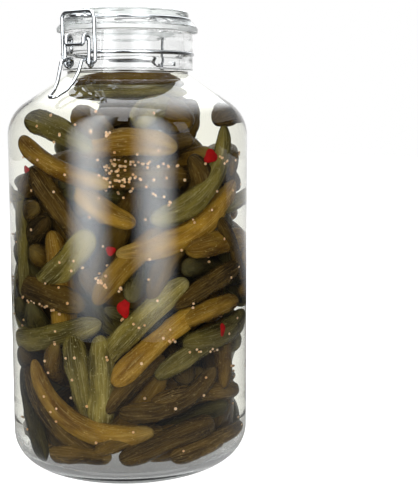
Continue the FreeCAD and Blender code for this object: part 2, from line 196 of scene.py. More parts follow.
# %% The room behind and round the jar
world = bpy.data.worlds.new("studio")
scene.world = world
world.use_nodes = True
world.node_tree.nodes.clear()
add = node_maker(world.node_tree)
path = add("LightPath")
direction = add("TexCoord").outputs["Generated"]
facing = add("VectorMath", {"operation": "DOT_PRODUCT"}, i0=direction, i1=AHEAD).outputs["Value"]
mirrored = add("MapRange", Value=facing, From_Min=0.6, From_Max=0.95, To_Min=0.03, To_Max=1.0)
seen_through = add("MapRange", Value=facing, From_Min=0.4, From_Max=0.8, To_Min=0.03, To_Max=1.0)
glow = add("MixRGB", i0=path.outputs["Is Transmission Ray"], i1=mirrored, i2=seen_through)
room = add("Background", Color=glow, Strength=1.0)
white = add("Background", Color=WHITE, Strength=1.0)
ambient = add("Background", Color=(0.9, 0.95, 1.0, 1), Strength=0.05)
after_matt = add("Math", {"operation": "GREATER_THAN"}, i0=path.outputs["Diffuse Depth"], i1=0.5)
for_eye = add("MixShader", i0=path.outputs["Is Camera Ray"], i1=room, i2=white)
for_all = add("MixShader", i0=after_matt, i1=for_eye, i2=ambient)
add("OutputWorld", Surface=for_all)
print("studio with", len(world.node_tree.nodes), "nodes")

# %% [markdown]
# The floor is a plane that glows white for the eye, so that it has no horizon, and still takes the jar's
# shadow, because a matt shader is added to the glow. A real white table would do too, but its far edge
# would show, and it would fill the glass with light from all sides. So through the glass it is bright only
# behind the jar, and what the wall mirrors of it is dim near the jar and bright only far behind.

# %% Floor
add, finish = new_material("floor white")
path = add("LightPath")
matt = add("BsdfDiffuse", Color=(0.8, 0.8, 0.8, 1))
place = add("NewGeometry").outputs["Position"]
ahead = add("VectorMath", {"operation": "DOT_PRODUCT"}, i0=place, i1=AHEAD).outputs["Value"]
away = add("VectorMath", {"operation": "LENGTH"}, i0=place).outputs["Value"]
seen_through = add("MapRange", Value=ahead, From_Min=-0.1, From_Max=0.05, To_Min=0.15, To_Max=0.97)
near_strip = add("MapRange", Value=away, From_Min=0.4, From_Max=0.52, To_Min=0.28, To_Max=0.03)
far_floor = add("MapRange", Value=ahead, From_Min=0.5, From_Max=1.2, To_Min=0.0, To_Max=0.95)
mirrored = add("Math", {"operation": "MAXIMUM"}, i0=near_strip, i1=far_floor)
open_floor = add("MapRange", Value=away, From_Min=0.25, From_Max=0.8, To_Min=0.8, To_Max=1.0)
in_glass = add("MixRGB", i0=path.outputs["Is Transmission Ray"], i1=mirrored, i2=seen_through)
brightness = add("MixRGB", i0=path.outputs["Is Camera Ray"], i1=in_glass, i2=open_floor)
glow = add("Emission", Color=brightness, Strength=1.0)
lit = add("AddShader", i0=matt, i1=glow)
for_eye = add("MixShader", i0=path.outputs["Is Camera Ray"], i1=glow, i2=lit)
after_matt = add("Math", {"operation": "GREATER_THAN"}, i0=path.outputs["Diffuse Depth"], i1=0.5)
floor_white = finish(add("MixShader", i0=after_matt, i1=for_eye, i2=matt))
FLOOR_HALF = 4
JUST_BELOW = -0.0002
floor_corners = [(x * FLOOR_HALF, y * FLOOR_HALF, 0) for x, y in ((-1, -1), (1, -1), (1, 1), (-1, 1))]
floor = mesh_piece("floor", floor_corners, [[0, 1, 2, 3]], floor_white)
floor.location = (0, 0, JUST_BELOW)

# %% [markdown]
# ## Lamps
#
# In a studio, soft boxes round the table light a jar. A bright world would be simpler, but it lights every
# gap as well. Area lamps leave the gaps dark: most of their light comes from above, so the upper sides of
# the gherkins are bright. Three of them also mirror in the wet skins, which gives the sheen. None is seen
# itself or through the glass: the white room is there for that.

# %% Five lamps
def round_the_jar(bearing, distance, height):
    """A place at a bearing round the jar."""
    angle = math.radians(bearing)
    return Vector((distance * math.sin(angle), -distance * math.cos(angle), height))


def lamp(name, place, wide, high, power, aim=(0, 0, 0.16), in_mirror=False):
    """A rectangular lamp, aimed at a point of the jar. Power is in watts."""
    light = bpy.data.lights.new(name, "AREA")
    light.shape = "RECTANGLE"
    light.size = wide
    light.size_y = high
    light.energy = power
    holder = bpy.data.objects.new(name, light)
    scene.collection.objects.link(holder)
    holder.location = place
    holder.rotation_euler = (Vector(aim) - place).to_track_quat("-Z", "Y").to_euler()
    holder.visible_camera = False
    holder.visible_transmission = False
    holder.visible_glossy = in_mirror
    print(name, power, "W")


lamp("key light", round_the_jar(5, 1.2, 1.1), 0.6, 0.6, 4.0, in_mirror=True)
lamp("fill light", round_the_jar(85, 1.4, 0.9), 0.7, 0.7, 2.6, in_mirror=True)
lamp("top light", round_the_jar(30, 0.4, 1.15), 0.8, 0.8, 8, in_mirror=True)
lamp("back light", round_the_jar(215, 1.3, 0.9), 0.9, 0.9, 6)
lamp("low light", round_the_jar(35, 0.8, 0.3), 0.6, 0.2, 5.0, aim=(0, 0, 0.03))

# %% [markdown]
# ## What mirrors in the glass
#
# The two pale upright bands on the jar are soft boxes mirrored in its wall. A lamp would also light what is
# in the jar and wash it out, so each soft box is a glowing card that only mirror rays can see. It fades
# towards its sides and its foot, which makes the bands soft. A third card over the jar makes the pale
# patches on the shoulder, the rim and the wires.

# %% Cards that only mirrors see
def mirror_card(name, corners, place, turn, colour, strength_nodes):
    """A glowing sheet that shows in nothing but mirrors. strength_nodes makes its brightness."""
    add, finish = new_material(name)
    across = add("SeparateXYZ", Vector=add("TexCoord").outputs["Object"])
    glow = add("Emission", Color=colour, Strength=strength_nodes(add, across))
    card = mesh_piece(name, corners, [[0, 1, 2, 3]], finish(glow))
    card.location = place
    card.rotation_euler = (0, 0, turn)
    card.visible_camera = False
    card.visible_diffuse = False
    card.visible_transmission = False
    card.visible_shadow = False


def fading(add, value, start, end, first, last):
    """Goes smoothly from one brightness to another as a value goes from start to end."""
    smooth = {"interpolation_type": "SMOOTHSTEP"}
    return add("MapRange", smooth, Value=value, From_Min=start, From_Max=end, To_Min=first, To_Max=last)


def times(add, first, second):
    """One value times another."""
    return add("Math", {"operation": "MULTIPLY"}, i0=first, i1=second)


# %% Two soft boxes
def soft_box(name, bearing, strength):
    """An upright card, turned to the jar, bright in its middle."""
    half = 0.21
    high = 1.0
    distance = 0.5

    def brightness(add, place):
        off_middle = add("Math", {"operation": "ABSOLUTE"}, i0=place.outputs["X"])
        sideways = fading(add, off_middle, 0.0, half, 1.0, 0.0)
        upwards = fading(add, place.outputs["Z"], -0.02, 0.16, 0.06, 1.0)
        return times(add, times(add, sideways, upwards), strength)

    corners = [(-half, 0, 0), (half, 0, 0), (half, 0, high), (-half, 0, high)]
    turn = math.radians(bearing)
    mirror_card(name, corners, round_the_jar(bearing, distance, 0), turn, (0.93, 0.97, 1.0, 1), brightness)


soft_box("left card", 5, 10)
soft_box("right card", 62, 9)


# %% The card overhead
def overhead_brightness(add, place):
    """Dim over the near side of the shoulder and out to the sides, bright over the lid and behind it."""
    depth = add("MapRange", Value=place.outputs["Y"], From_Min=-1.85, From_Max=-0.85, To_Min=0.4, To_Max=5.0)
    off_middle = add("Math", {"operation": "ABSOLUTE"}, i0=place.outputs["X"])
    return times(add, depth, fading(add, off_middle, 0.4, 1.3, 1.0, 0.1))


overhead_corners = [(-2.4, -1.9, 0), (-2.4, 2.6, 0), (2.4, 2.6, 0), (2.4, -1.9, 0)]
overhead_place = (AHEAD[0] * 1.25, AHEAD[1] * 1.25, 1.35)
overhead_colour = (0.95, 0.98, 1.0, 1)
mirror_card("overhead card", overhead_corners, overhead_place, HEADING, overhead_colour, overhead_brightness)

# %% [markdown]
# ## Glass
#
# The jar is clear glass with a trace of green and a refractive index of 1.5. It could be one shader all
# over, but three things need more. For shadow rays it is simply transparent, because light that lamps send
# through curved glass is noisy to trace. The neck and the lid are pressed in a mould, which leaves faint
# level waves: a bump makes them, as they are far too slight to model.
#
# Where brine wets the inside of the wall, there is hardly a gleam between the two, as they bend light almost
# alike. A full glass shader would mirror there as it does against air, so that part only bends light. The
# foot is stippled and lets light in from the table: there, part of the light goes straight through.

# %% How light passes clear things
def clear_to_lamps(add, shader):
    """The shader for every ray but those of the lamps, which pass."""
    open_air = add("BsdfTransparent", Color=WHITE)
    return add("MixShader", i0=add("LightPath").outputs["Is Shadow Ray"], i1=shader, i2=open_air)


def moulded_waves(add, across, strength):
    """A bump of level bands, as a mould leaves them in pressed glass."""
    stretched = add("Mapping", Vector=add("TexCoord").outputs["Object"], Scale=(across, across, 150))
    bands = add("TexNoise", Vector=stretched, Scale=1.0, Detail=1.0)
    return add("Bump", Strength=strength, Distance=0.0016, Height=bands)


def full_glass(add, waves):
    """Glass that both mirrors and bends light."""
    clear = {"Base_Color": WHITE, "Roughness": 0.0, "Transmission_Weight": 1.0}
    return add("BsdfPrincipled", IOR=1.5, Normal=waves, **clear)


def glass_body(add):
    """A trace of green that grows with the thickness of the glass."""
    return add("VolumeAbsorption", Color=(0.86, 0.95, 0.91, 1), Density=6.0)


# %% Glass of the jar
inside_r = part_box("brine")[1].x / MM
brine_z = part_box("brine")[1].z / MM
add, finish = new_material("clear glass")
place = add("TexCoord").outputs["Object"]
height = add("SeparateXYZ", Vector=place).outputs["Z"]
print("brine reaches", round(inside_r, 1), "mm from the axis and up to", round(brine_z, 1), "mm")
in_neck = add("MapRange", Value=height, From_Min=0.272, From_Max=0.28, To_Min=0.0, To_Max=0.9)
glass = full_glass(add, moulded_waves(add, 16, in_neck))

# %% Where brine wets the wall
level_place = add("VectorMath", {"operation": "MULTIPLY"}, i0=place, i1=(1, 1, 0))
outwards = add("VectorMath", {"operation": "NORMALIZE"}, i0=level_place)
surface = add("NewGeometry")
leaning = add("VectorMath", {"operation": "DOT_PRODUCT"}, i0=surface.outputs["True Normal"], i1=outwards)
sign = add("MapRange", Value=surface.outputs["Backfacing"], To_Min=1.0, To_Max=-1.0)
lean_out = times(add, leaning.outputs["Value"], sign)
inside_wall = add("Math", {"operation": "LESS_THAN"}, i0=lean_out, i1=-0.05)
below_level = add("Math", {"operation": "LESS_THAN"}, i0=height, i1=brine_z * MM)
above_base = add("Math", {"operation": "GREATER_THAN"}, i0=height, i1=0.016)
wetted = times(add, times(add, below_level, above_base), inside_wall)
bends_only = add("BsdfRefraction", Color=WHITE, Roughness=0.0, IOR=1.5)
wall_or_wet = add("MixShader", i0=wetted, i1=glass, i2=bends_only)

# %% The stippled foot
upright = add("SeparateXYZ", Vector=surface.outputs["True Normal"]).outputs["Z"]
how_level = add("Math", {"operation": "ABSOLUTE"}, i0=upright)
level_face = add("Math", {"operation": "GREATER_THAN"}, i0=how_level, i1=0.7)
at_foot = add("Math", {"operation": "LESS_THAN"}, i0=height, i1=0.006)
STIPPLED_SHARE = 0.6
stippled = times(add, times(add, level_face, at_foot), STIPPLED_SHARE)
straight_through = add("BsdfRefraction", Color=WHITE, Roughness=0.0, IOR=1.0)
jar_surface = add("MixShader", i0=stippled, i1=wall_or_wet, i2=straight_through)
dress(["jar_glass"], finish(clear_to_lamps(add, jar_surface), glass_body(add)))

# %% Glass of the lid
add, finish = new_material("lid glass")
lid_surface = full_glass(add, moulded_waves(add, 20, 0.8))
dress(["lid_glass"], finish(clear_to_lamps(add, lid_surface), glass_body(add)))

# %% [markdown]
# ## Wire and gasket
#
# The clip is drawn steel wire, a dull mirror with fine marks from the drawing die. Marks that fine could be
# a bump, but at this size a bump only makes specks. A noise that changes the roughness over a millimetre
# or so breaks the reflections up in a quieter way. The gasket is pale rubber, half see-through, with a
# dusty bloom: one noise makes its colour, its roughness and its grain, so that the three agree.

# %% Drawn steel wire
add, finish = new_material("drawn steel wire")
fine = add("Mapping", Vector=add("TexCoord").outputs["Object"], Scale=(900, 900, 900))
scratches = add("TexNoise", Vector=fine, Scale=1.0, Detail=2)
dullness = add("MapRange", Value=scratches, To_Min=0.12, To_Max=0.3)
steel = finish(add("BsdfPrincipled", Base_Color=(0.42, 0.43, 0.44, 1), Metallic=1.0, Roughness=dullness))
dress(["neck_ring", "lid_ring", "bail", "lever"], steel)

# %% Pale rubber
add, finish = new_material("pale rubber")
dust = add("TexNoise", Vector=add("TexCoord").outputs["Object"], Scale=260.0, Detail=3.0)
bloom = add("MapRange", Value=dust, From_Min=0.35, From_Max=0.65, To_Min=0.34, To_Max=0.56)
shade = add("MixRGB", i0=dust, i1=(0.78, 0.79, 0.78, 1), i2=(0.9, 0.91, 0.9, 1))
grain = add("Bump", Strength=0.3, Distance=0.0002, Height=dust)
look = {"Base_Color": shade, "Roughness": bloom, "Transmission_Weight": 0.5, "IOR": 1.42, "Normal": grain}
dress(["gasket"], finish(add("BsdfPrincipled", **look)))

# %% [markdown]
# ## Brine
#
# The brine fills the jar up into the neck. The CAD solid could be shown as it is, but it only touches the
# glass, and where two surfaces lie in one place a renderer can't tell which comes first. As the liquid is a
# turned shape, its outline is read from that solid, moved 0.4 mm into the glass and spun round the axis.
# Where the top meets the neck, the liquid climbs the glass by nearly a millimetre, because it wets it. This
# curved edge is called the meniscus, and it fades out within a few millimetres.

# %% Outline of the liquid
corners = np.array([point.co for point in nodes["brine"].data.vertices])
flat = np.round(np.stack([np.hypot(corners[:, 0], corners[:, 1]), corners[:, 2]], 1), 5)
levels = np.unique(flat[:, 1])
outline = np.array([[flat[flat[:, 1] == level, 0].max(), level] for level in levels])
INTO_WALL = 0.4 * MM
CLIMB = 0.9 * MM
FADE = 1.1 * MM
step = np.gradient(outline, axis=0)
outward = np.stack([step[:, 1], -step[:, 0]], 1)
outward /= np.linalg.norm(outward, axis=1)[:, None]
pushed = outline + outward * INTO_WALL
top_z = outline[-1, 1]
pushed = pushed[pushed[:, 1] < top_z]
bore = np.interp(top_z, pushed[:, 1], pushed[:, 0])
edge_steps = np.array([0, 0.4, 0.8, 1.3, 2, 3, 5, 8]) * MM
meniscus = [(bore - d, top_z + CLIMB * math.exp(-max(d - INTO_WALL, 0) / FADE)) for d in edge_steps]
rings = np.array([tuple(point) for point in pushed] + meniscus)
print("brine outline of", len(rings), "rings, level at", round(top_z, 4))

# %% The outline spun round the axis
AROUND = 128
angles = np.linspace(0, 2 * math.pi, AROUND, endpoint=False)
circle = np.stack([np.cos(angles), np.sin(angles)], 1)
ring_points = [np.column_stack([circle * r, np.full(AROUND, z)]) for r, z in rings]
ends = [[0, 0, pushed[0, 1] - INTO_WALL], [0, 0, top_z]]
brine_points = np.concatenate(ring_points + [ends])
here = np.arange(AROUND)
after = (here + 1) % AROUND
brine_faces = []
for low in range(0, (len(rings) - 1) * AROUND, AROUND):
    high = low + AROUND
    brine_faces += [np.stack([low + here, low + after, high + after], 1)]
    brine_faces += [np.stack([low + here, high + after, high + here], 1)]
last = (len(rings) - 1) * AROUND
bottom, top = len(brine_points) - 2, len(brine_points) - 1
brine_faces += [np.stack([np.full(AROUND, bottom), after, here], 1)]
brine_faces += [np.stack([np.full(AROUND, top), last + here, last + after], 1)]
print("brine", len(brine_points), "points")

# %% [markdown]
# Brine has a refractive index of 1.33, a little less than glass, and vinegar and spice give it a yellow
# tinge. A tinted surface would be the same all over, so the tinge is in the volume, where it grows with
# depth. Only the open surface mirrors, for the reason given for the wetted glass.

# %% Brine
add, finish = new_material("brine")
height = add("SeparateXYZ", Vector=add("TexCoord").outputs["Object"]).outputs["Z"]
open_surface = add("BsdfPrincipled", Base_Color=WHITE, Roughness=0.0, IOR=1.33, Transmission_Weight=1.0)
at_wall = add("BsdfRefraction", Color=WHITE, Roughness=0.0, IOR=1.33)
is_open = add("Math", {"operation": "GREATER_THAN"}, i0=height, i1=(brine_z - 0.1) * MM)
surface = add("MixShader", i0=is_open, i1=at_wall, i2=open_surface)
tinge = add("VolumeAbsorption", Color=(0.96, 0.92, 0.4, 1), Density=1.8)
brine_look = finish(clear_to_lamps(add, surface), tinge)
brine = mesh_piece("brine_liquid", brine_points, np.concatenate(brine_faces), brine_look)
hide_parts("brine")
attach(brine, "jar")

# %% [markdown]
# ## Where the gherkins lie
#
# The jar is packed tight. A gherkin against the glass shows its whole shape, and those behind it only show
# in the gaps. So the ones in front are placed one by one, each by its two ends. The others are strewn by
# chance and pushed apart afterwards. From here on to the meshes, lengths are in mm, because a gherkin is
# easier to think of that way.

# %% Four kinds of gherkin
GREEN = 0
GOLDEN = 1
BROWN = 2
PALE = 3
floor_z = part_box("brine")[0].z / MM
print("floor of the brine at", round(floor_z, 1), "mm")

# %% Gherkins placed one by one
# The bearing and height of one end and of the other, the thickness, how deep both ends lie in from the
# wall, how far the middle bows sideways, and the kind.
PLACED = [
    (-25, 252, 22, 227, 14, 0, 1, 3, GREEN),
    (-28, 233, 31, 203, 14, 0, 2, -4, GOLDEN),
    (8, 250, 38, 222, 17, 8, 16, 3, BROWN),
    (43, 246, 74, 252, 15, 4, 30, 2, PALE),
    (73, 244, 68, 246, 17, 0, 85, 0, GOLDEN),
    (89, 246, 150, 248, 15, 0, 0, 3, BROWN),
    (12, 226, 66, 229, 17, 4, 1, 4, GOLDEN),
    (75, 224, 86, 190, 16, 4, 16, 2, BROWN),
    (100, 241, 51, 178, 17, 0, 0, 13, GREEN),
    (110, 203, 33, 157, 17, 0, 0, 10, GOLDEN),
    (27, 207, 82, 207, 17, 3, 17, 2, BROWN),
    (43, 177, 4, 204, 16, 1, 17, 3, GOLDEN),
    (4, 199, 50, 190, 13, 4, 34, 2, GREEN),
    (-20, 215, 17, 160, 16, 2, 12, 3, BROWN),
    (-24, 191, -80, 202, 12, 0, 2, 3, GREEN),
    (-18, 194, 10, 152, 14, 12, 24, 2, BROWN),
    (-29, 193, -30, 122, 12, 1, 4, 4, GREEN),
    (-4, 174, -8, 96, 16, 4, 20, 3, GOLDEN),
    (70, 161, 134, 156, 18, 0, 2, 3, GOLDEN),
    (90, 184, 150, 190, 12, 2, 4, 2, GREEN),
    (90, 180, 122, 130, 11, 1, 6, 2, BROWN),
    (21, 174, -22, 132, 18, 0, 8, 4, PALE),
    (-40, 131, 16, 123, 19, 0, 2, 2, BROWN),
    (21, 125, 66, 174, 17, 0, 16, 4, GOLDEN),
    (-42, 90, 24, 112, 17, 0, 8, -3, GREEN),
    (23, 84, 72, 141, 16, 3, 4, 3, PALE),
    (50, 127, 80, 168, 15, 2, 20, 3, BROWN),
    (62, 123, 122, 143, 16, 0, 2, 3, BROWN),
    (63, 110, 118, 117, 14, 4, 6, 3, GOLDEN),
    (68, 96, 130, 103, 17, 1, 2, -3, GREEN),
    (9, 105, 12, 44, 17, 1, 16, 2, GREEN),
    (25, 106, 20, 38, 18, 0, 18, 2, PALE),
    (30, 71, 80, 119, 16, 0, 6, 3, GOLDEN),
    (52, 75, 108, 100, 15, 3, 5, 3, GREEN),
    (33, 50, 92, 74, 15, 4, 3, -8, BROWN),
    (50, 57, 116, 51, 15, 6, 2, 5, BROWN),
    (-22, 80, 52, 35, 17, 0, 0, -18, GOLDEN),
    (-31, 74, 22, 17, 15, 4, 6, -5, BROWN),
    (24, 50, 62, 88, 14, 9, 18, 3, BROWN),
    (20, 24, 60, 36, 12, 3, 14, 3, BROWN),
    (33, 19, 92, 36, 17, 0, 5, 3, BROWN),
    (60, 18, 124, 21, 15, 2, 3, 2, BROWN),
    (46, 18, 108, 22, 16, 15, 17, 2, BROWN),
    (-20, 255, 100, 257, 16, 30, 30, -3, PALE),
    (-50, 267, 130, 266, 15, 40, 40, 2, GOLDEN),
    (-8, 18, 30, 20, 13, 4, 6, 2, BROWN),
    (12, 238, 58, 245, 16, 26, 30, 2, BROWN),
]
print(len(PLACED), "gherkins placed by hand")

# %% [markdown]
# A gherkin is a bent rod. Its middle line is an arc, worked out from the straight distance between its ends,
# the chord, and from how far the arc bulges, the bow. Its place and turn are kept apart from its shape, as
# a centre and three directions, so that it can be moved later without bending it.

# %% The middle line of a gherkin
def bent_line(chord, bow, count):
    """Points along the arc, in its own plane, round its circle's top, then its radius and half angle."""
    along = np.linspace(-1, 1, count)
    bow = max(abs(bow), 0.01)
    radius = (chord ** 2 / 4 + bow ** 2) / (2 * bow)
    half = math.asin(min(1, chord / 2 / radius))
    rise = radius * (np.cos(half * along) - math.cos(half))
    return np.stack([radius * np.sin(half * along), rise, 0 * along], 1), radius, half


def on_wall(bearing, height, inward):
    """A point at this bearing and height, this far in from the wall."""
    angle = math.radians(bearing)
    reach = inside_r - inward
    return np.array([reach * math.sin(angle), -reach * math.cos(angle), height])


# %% What is known of each gherkin
centres, turns, chords, bows, thicks, kinds, by_hand = [], [], [], [], [], [], []
SHORTEST = 30
HARDLY_BENT = 0.3


def add_gherkin(one_end, other_end, sag, thick, kind, placed):
    """Notes a gherkin that runs from end to end. Its middle bulges the way of sag, and as far."""
    chord_line = other_end - one_end
    lengthways = chord_line / np.linalg.norm(chord_line)
    sideways = sag - lengthways * (sag * lengthways).sum()
    bow = np.linalg.norm(sideways)
    if bow < 1e-6:
        sideways = np.cross(lengthways, [0.3, 0.5, 0.8])
        bow = HARDLY_BENT
    sideways = sideways / np.linalg.norm(sideways)
    centres.append((one_end + other_end) / 2 + sideways * bow * 0.6)
    turns.append(np.stack([lengthways, sideways, np.cross(lengthways, sideways)], 1))
    chords.append(max(np.linalg.norm(chord_line), SHORTEST))
    bows.append(bow)
    thicks.append(thick)
    kinds.append(kind)
    by_hand.append(placed)


# %% [markdown]
# A placed gherkin that follows the wall also bulges outwards, because the straight line between two places
# on the wall cuts the corner. One that points into the jar doesn't.

# %% The placed gherkins
POINTS_INWARDS = 20
FOLLOWS_WALL = 0.45
for bearing_1, height_1, bearing_2, height_2, thick, in_1, in_2, bow, kind in PLACED:
    one_end = on_wall(bearing_1, height_1, thick / 2 + in_1)
    other_end = on_wall(bearing_2, height_2, thick / 2 + in_2)
    middle = (one_end + other_end) / 2
    reach = math.hypot(middle[0], middle[1])
    way_out = np.array([middle[0], middle[1], 0]) / max(reach, 1e-6)
    lengthways = (other_end - one_end) / np.linalg.norm(other_end - one_end)
    cut_off = max(inside_r - thick / 2 - reach, 0)
    bulge = way_out * cut_off * FOLLOWS_WALL * (in_2 < POINTS_INWARDS)
    sag = np.cross(way_out, lengthways) * bow + bulge
    add_gherkin(one_end, other_end, sag, thick, kind, True)
print("longest placed gherkin", round(float(max(chords))), "mm from end to end")

# %% [markdown]
# The loose ones are drawn by chance, always the same, because the generator starts from a fixed number.
# Six in ten lie along the wall on the sides and the back, mostly level. The others fill the middle of the
# jar any way round.

# %% Loose gherkins
rng = np.random.default_rng(31)
TOP = 250
LOOSE = 134
AT_WALL = 0.62
SHARES = [0.42, 0.28, 0.30]


def beside_the_wall(height, thick):
    """The middle, direction and sag of a gherkin that lies along the wall."""
    angle = math.radians(rng.uniform(118, 332))
    reach = inside_r - thick / 2 - rng.uniform(0, 16)
    swing = math.radians(rng.normal(0, 30) if rng.random() < 0.75 else rng.uniform(60, 110))
    middle = np.array([reach * math.sin(angle), -reach * math.cos(angle), height])
    level = np.array([math.cos(angle), math.sin(angle), 0])
    lengthways = level * math.cos(swing) + np.array([0, 0, math.sin(swing)])
    sag = middle * [1, 1, 0] / reach * rng.uniform(2, 9) + np.array([0, 0, rng.normal(0, 3)])
    return middle, lengthways, sag


def in_the_middle(height):
    """The middle, direction and sag of a gherkin somewhere inside, any way round."""
    reach = 55 * math.sqrt(rng.random())
    angle = rng.uniform(0, 2 * math.pi)
    middle = np.array([reach * math.cos(angle), reach * math.sin(angle), height])
    heading = rng.uniform(0, 2 * math.pi)
    lean = math.radians(rng.normal(0, 28))
    level = math.cos(lean)
    lengthways = np.array([math.cos(heading) * level, math.sin(heading) * level, math.sin(lean)])
    return middle, lengthways, rng.normal(0, 4, 3)


for number in range(LOOSE):
    length = rng.uniform(62, 108)
    thick = rng.uniform(13, 18.5)
    height = floor_z + thick / 2 + (number + 0.5) / LOOSE * (TOP - floor_z - thick)
    at_wall = rng.random() < AT_WALL
    middle, lengthways, sag = beside_the_wall(height, thick) if at_wall else in_the_middle(height)
    kind = int(rng.choice([GREEN, GOLDEN, BROWN], p=SHARES))
    add_gherkin(middle - lengthways * length / 2, middle + lengthways * length / 2, sag, thick, kind, False)

# %% All of them as arrays
centres = np.array(centres)
turns = np.array(turns)
thicks = np.array(thicks)
kinds = np.array(kinds)
by_hand = np.array(by_hand)
pale = kinds == PALE
kinds[pale] = GREEN
gherkin_count = len(centres)
print(gherkin_count, "gherkins,", int(pale.sum()), "of the green ones pale")

# %% [markdown]
# ## Pushing them apart
#
# A physics simulation would settle the pile, but it would also carry off those that are placed. Here a
# simpler way is enough: nine balls along each gherkin stand for its shape, and balls that overlap push each
# other away, a little at a time.

# %% Nine balls for each gherkin
BALLS = 9


def half_thickness(along, thick):
    """Half the thickness at a place along the gherkin, from 0 at one end to 1 at the other."""
    return thick / 2 * np.sqrt(np.clip(1 - np.abs(2 * along - 1) ** 5.0, 0, 1))


def inner_chord(chord, thick):
    """The middle line ends inside the round ends, so it is shorter than the gherkin."""
    return chord - thick * 0.7


lengths = [inner_chord(chord, thick) for chord, thick in zip(chords, thicks)]
lines = [bent_line(length, bow, BALLS)[0] for length, bow in zip(lengths, bows)]
rest = np.stack([line - line.mean(0) for line in lines])
ball_spots = np.linspace(0.06, 0.94, BALLS)
radii = np.stack([np.maximum(half_thickness(ball_spots, thick), thick * 0.3) for thick in thicks]).ravel()
owner = np.repeat(np.arange(gherkin_count), BALLS)
loose = ~by_hand[owner]
PLACED_GIVES_WAY = 0.04
mobile = np.where(by_hand, PLACED_GIVES_WAY, 1.0)[owner]
print("balls from", round(float(radii.min()), 1), "to", round(float(radii.max()), 1), "mm in radius")

# %% [markdown]
# The glass leaves room for the balls. Seen as a half section, with the distance from the axis across and
# the height upwards, that room is bounded by straight lines: wall, floor, shoulder, the bend at the foot,
# and two under the neck. The shoulder's line is fitted to the outline of the brine.

# %% The room inside the jar
upright_wall = outline[outline[:, 0] > (inside_r - 0.3) * MM]
shoulder_low = upright_wall[:, 1].max() / MM
shoulder = outline[(outline[:, 1] / MM > shoulder_low + 4) & (outline[:, 0] / MM > 42)]
slope = np.polyfit(shoulder[:, 0] / MM, shoulder[:, 1] / MM, 1)
tilt = math.atan(-slope[0])
DIAGONAL = math.sqrt(0.5)
# how much of each line's way out is outwards and how much upwards, and where the line lies
room = [
    (1, 0, inside_r),
    (0, -1, -(floor_z + 1.5)),
    (0, 1, 270),
    (math.sin(tilt), math.cos(tilt), slope[1] * math.cos(tilt)),
    (DIAGONAL, -DIAGONAL, (inside_r - floor_z - 4) * DIAGONAL),
    (0.2, 0.98, 262),
]
print("shoulder from", round(shoulder_low, 1), "mm, at", round(math.degrees(tilt), 1), "degrees")

# %% [markdown]
# The loose gherkins have two more bounds. The pile is a heap that is higher on one side, and beside it, high
# up and along the edges, clear brine is left between gherkins and glass.

# %% The heap and the clear brine
HEAP_OUT = 0.68
HEAP_UP = 0.733
HEAP_LIMIT = 200
HEAP_SLANT = 0.2
HIGH_SIDE = (math.sin(math.radians(85)), -math.cos(math.radians(85)))
# bearing, lowest and highest height, and how far out gherkins may reach
CLEAR = [(154, -20, 112, 58), (154, 158, 300, 57), (-74, -20, 108, 58), (-74, 108, 215, 61)]
print("heap at most", round(HEAP_LIMIT / HEAP_UP), "mm high on the axis")

# %% Balls push balls
SOON = 5


def near_pairs(balls):
    """Pairs of balls of two gherkins that are near enough to touch soon."""
    reach = radii[:, None] + radii[None, :] + SOON
    apart = np.zeros((len(balls), len(balls)))
    for axis in range(3):
        apart += (balls[:, None, axis] - balls[None, :, axis]) ** 2
    return np.nonzero((apart < reach ** 2) & (owner[:, None] < owner[None, :]))


def pushes_of_touch(balls, first, second):
    """How balls that overlap push each other away, and by how much they overlap. Placed ones stay."""
    away = balls[first] - balls[second]
    distance = np.sqrt((away ** 2).sum(1)) + 1e-6
    overlap = np.maximum(radii[first] + radii[second] - distance, 0)
    push = away / distance[:, None] * overlap[:, None]
    share = (mobile[first] / (mobile[first] + mobile[second]))[:, None]
    move = np.zeros_like(balls)
    for axis in range(3):
        forwards = np.bincount(first, (push * share)[:, axis], len(balls))
        backwards = np.bincount(second, (push * (1 - share))[:, axis], len(balls))
        move[:, axis] = forwards - backwards
    move[~loose] = 0
    return move, overlap


# %% The jar and the clear brine push balls
GLASS_PUSH = 1.2


def add_pushes_of_glass(balls, move):
    """The glass pushes every ball that passes one of its lines, placed or not."""
    reach = np.hypot(balls[:, 0], balls[:, 1]) + 1e-6
    for out, up, limit in room:
        deep = np.maximum(out * reach + up * balls[:, 2] - limit + radii, 0)
        move[:, 0] -= deep * out * balls[:, 0] / reach * GLASS_PUSH
        move[:, 1] -= deep * out * balls[:, 1] / reach * GLASS_PUSH
        move[:, 2] -= deep * up * GLASS_PUSH


def add_pushes_of_bounds(balls, move):
    """Loose balls are kept under the heap's slope and out of the clear brine."""
    reach = np.hypot(balls[:, 0], balls[:, 1]) + 1e-6
    slant = HEAP_SLANT * (balls[:, 0] * HIGH_SIDE[0] + balls[:, 1] * HIGH_SIDE[1])
    deep = np.maximum(HEAP_OUT * reach + HEAP_UP * balls[:, 2] - HEAP_LIMIT - slant + radii, 0) * loose
    move[:, 2] -= deep
    for bearing, low, high, limit in CLEAR:
        out_x = math.sin(math.radians(bearing))
        out_y = -math.cos(math.radians(bearing))
        inside = np.clip(np.minimum(balls[:, 2] - low, high - balls[:, 2]) / 8, 0, 1)
        past = np.maximum(balls[:, 0] * out_x + balls[:, 1] * out_y + radii - limit, 0)
        deep = past * inside * loose
        move[:, 0] -= deep * out_x
        move[:, 1] -= deep * out_y


# %% [markdown]
# A gherkin keeps its shape while it is pushed, so the pushes on its balls add up to one shift and one turn.
# Places are rounded after every step, so that tiny differences between two computers hardly grow.

# %% One shift and one turn
SHIFT_SHARE = 0.75
LONGEST_SHIFT = 4
TURN_SHARE = 1.6
LARGEST_TURN = 0.15


